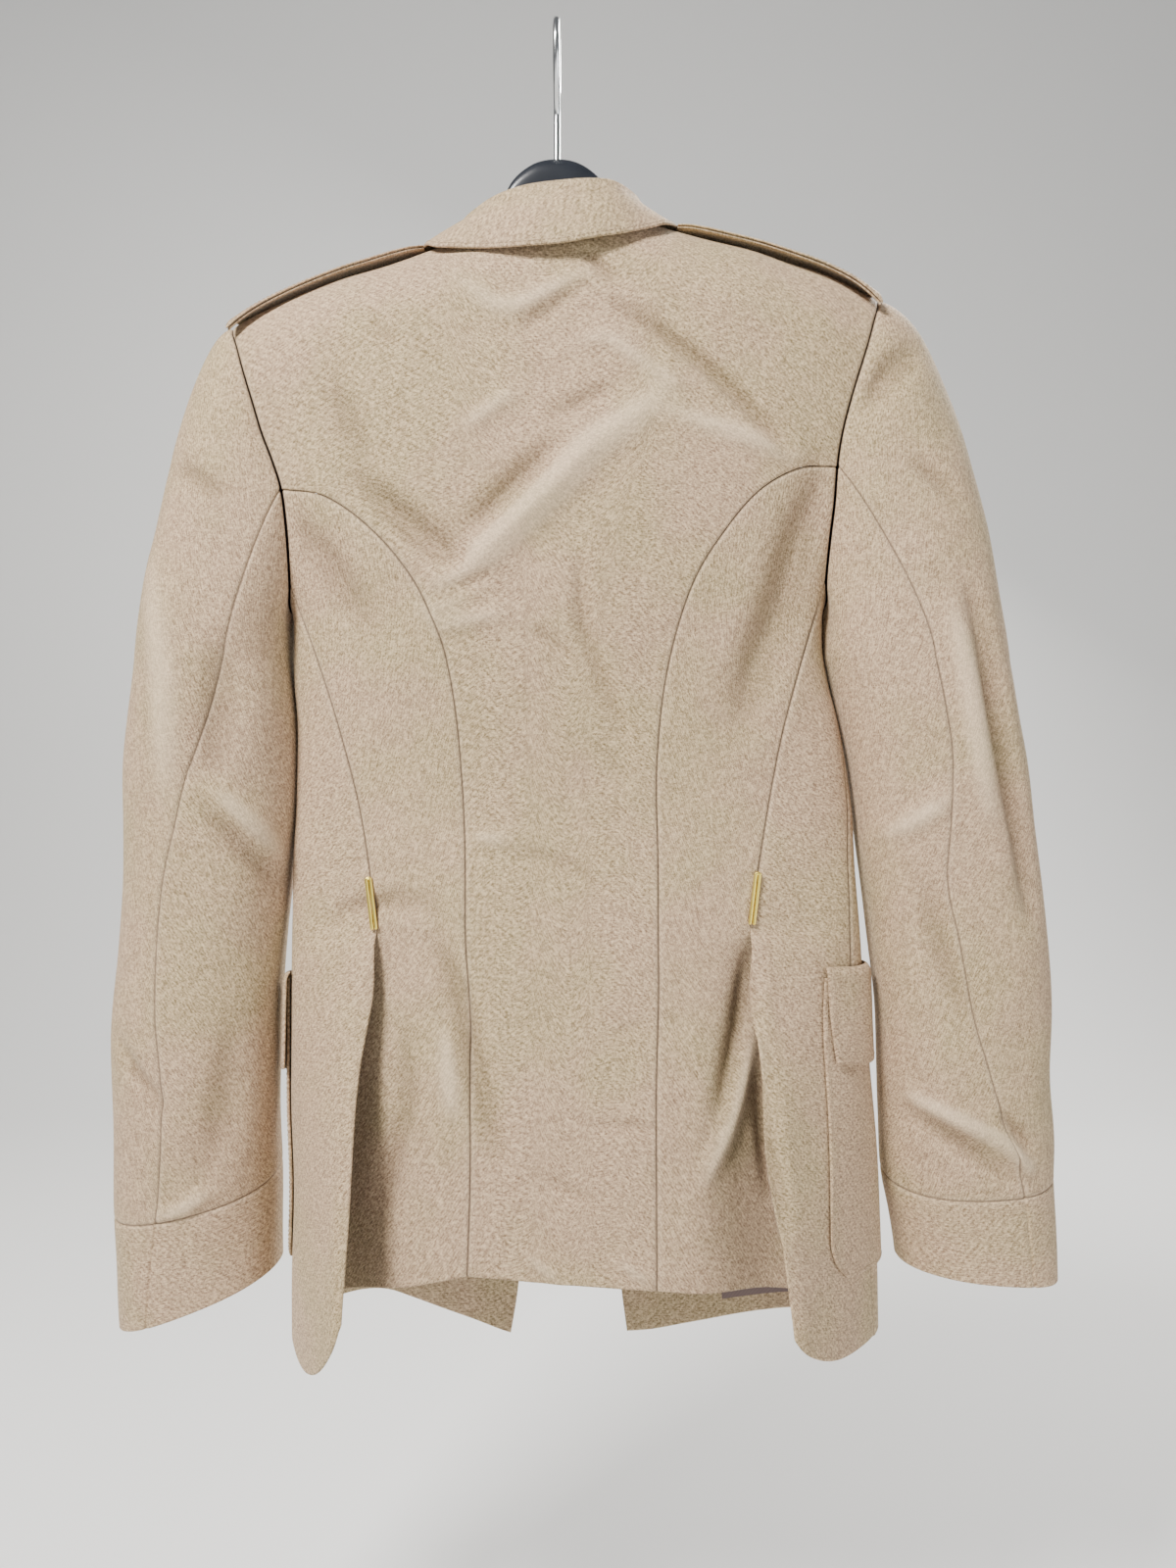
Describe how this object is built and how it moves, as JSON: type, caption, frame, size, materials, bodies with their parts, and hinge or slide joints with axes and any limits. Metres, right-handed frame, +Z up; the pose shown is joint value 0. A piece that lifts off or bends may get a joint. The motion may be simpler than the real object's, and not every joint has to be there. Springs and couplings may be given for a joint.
{
  "type": "dress uniform jacket on a coat hanger",
  "caption": "Fitted wool twill dress uniform jacket with shoulder straps, flap pockets, belt hooks and side vents, hung on a black hanger with a wire hook.",
  "frame": {"origin": "inner top point of the wire hook, where the hanger rests on its rail", "axes": "+Z up. The jacket's back faces -Y and its front faces +Y. +X is to the right seen from the back, the wearer's right side"},
  "size_m": [0.581, 0.1483, 0.8248],
  "materials": {
    "back_centre": "khaki-brown heather wool twill, matt",
    "back_side_left": "khaki-brown heather wool twill, matt",
    "back_side_right": "khaki-brown heather wool twill, matt",
    "side_panel_left": "khaki-brown heather wool twill, matt",
    "side_panel_right": "khaki-brown heather wool twill, matt",
    "front_left": "khaki-brown heather wool twill, matt",
    "front_right": "khaki-brown heather wool twill, matt",
    "lapel_left": "khaki-brown heather wool twill, matt",
    "lapel_right": "khaki-brown heather wool twill, matt",
    "collar_fall": "khaki-brown heather wool twill, matt",
    "collar_stand": "khaki-brown heather wool twill, matt",
    "top_sleeve_left": "khaki-brown heather wool twill, matt",
    "top_sleeve_right": "khaki-brown heather wool twill, matt",
    "under_sleeve_left": "khaki-brown heather wool twill, matt",
    "under_sleeve_right": "khaki-brown heather wool twill, matt",
    "cuff_left": "khaki-brown heather wool twill, matt",
    "cuff_right": "khaki-brown heather wool twill, matt",
    "patch_pocket_left": "khaki-brown heather wool twill, matt",
    "patch_pocket_right": "khaki-brown heather wool twill, matt",
    "pocket_flap_left": "khaki-brown heather wool twill, matt",
    "pocket_flap_right": "khaki-brown heather wool twill, matt",
    "shoulder_strap_left": "khaki-brown heather wool twill, matt",
    "shoulder_strap_right": "khaki-brown heather wool twill, matt",
    "strap_button_left": "polished, a little dulled",
    "strap_button_right": "polished, a little dulled",
    "front_button_1": "polished, a little dulled",
    "front_button_2": "polished, a little dulled",
    "front_button_3": "polished, a little dulled",
    "front_button_4": "polished, a little dulled",
    "belt_hook_left": "polished, a little dulled",
    "belt_hook_right": "polished, a little dulled",
    "hanger_body": "black, moulded, glossy rim",
    "hanger_hook": "bright plated steel wire"
  },
  "bodies": {
    "root": {"back_centre": "back_centre", "back_side_left": "back_side_left", "back_side_right": "back_side_right", "side_panel_left": "side_panel_left", "side_panel_right": "side_panel_right", "front_left": "front_left", "front_right": "front_right", "lapel_left": "lapel_left", "lapel_right": "lapel_right", "collar_fall": "collar_fall", "collar_stand": "collar_stand", "top_sleeve_left": "top_sleeve_left", "top_sleeve_right": "top_sleeve_right", "under_sleeve_left": "under_sleeve_left", "under_sleeve_right": "under_sleeve_right", "cuff_left": "cuff_left", "cuff_right": "cuff_right", "patch_pocket_left": "patch_pocket_left", "patch_pocket_right": "patch_pocket_right", "pocket_flap_left": "pocket_flap_left", "pocket_flap_right": "pocket_flap_right", "shoulder_strap_left": "shoulder_strap_left", "shoulder_strap_right": "shoulder_strap_right", "strap_button_left": "strap_button_left", "strap_button_right": "strap_button_right", "front_button_1": "front_button_1", "front_button_2": "front_button_2", "front_button_3": "front_button_3", "front_button_4": "front_button_4", "belt_hook_left": "belt_hook_left", "belt_hook_right": "belt_hook_right", "hanger_body": "hanger_body", "hanger_hook": "hanger_hook"}
  },
  "joints": []
}
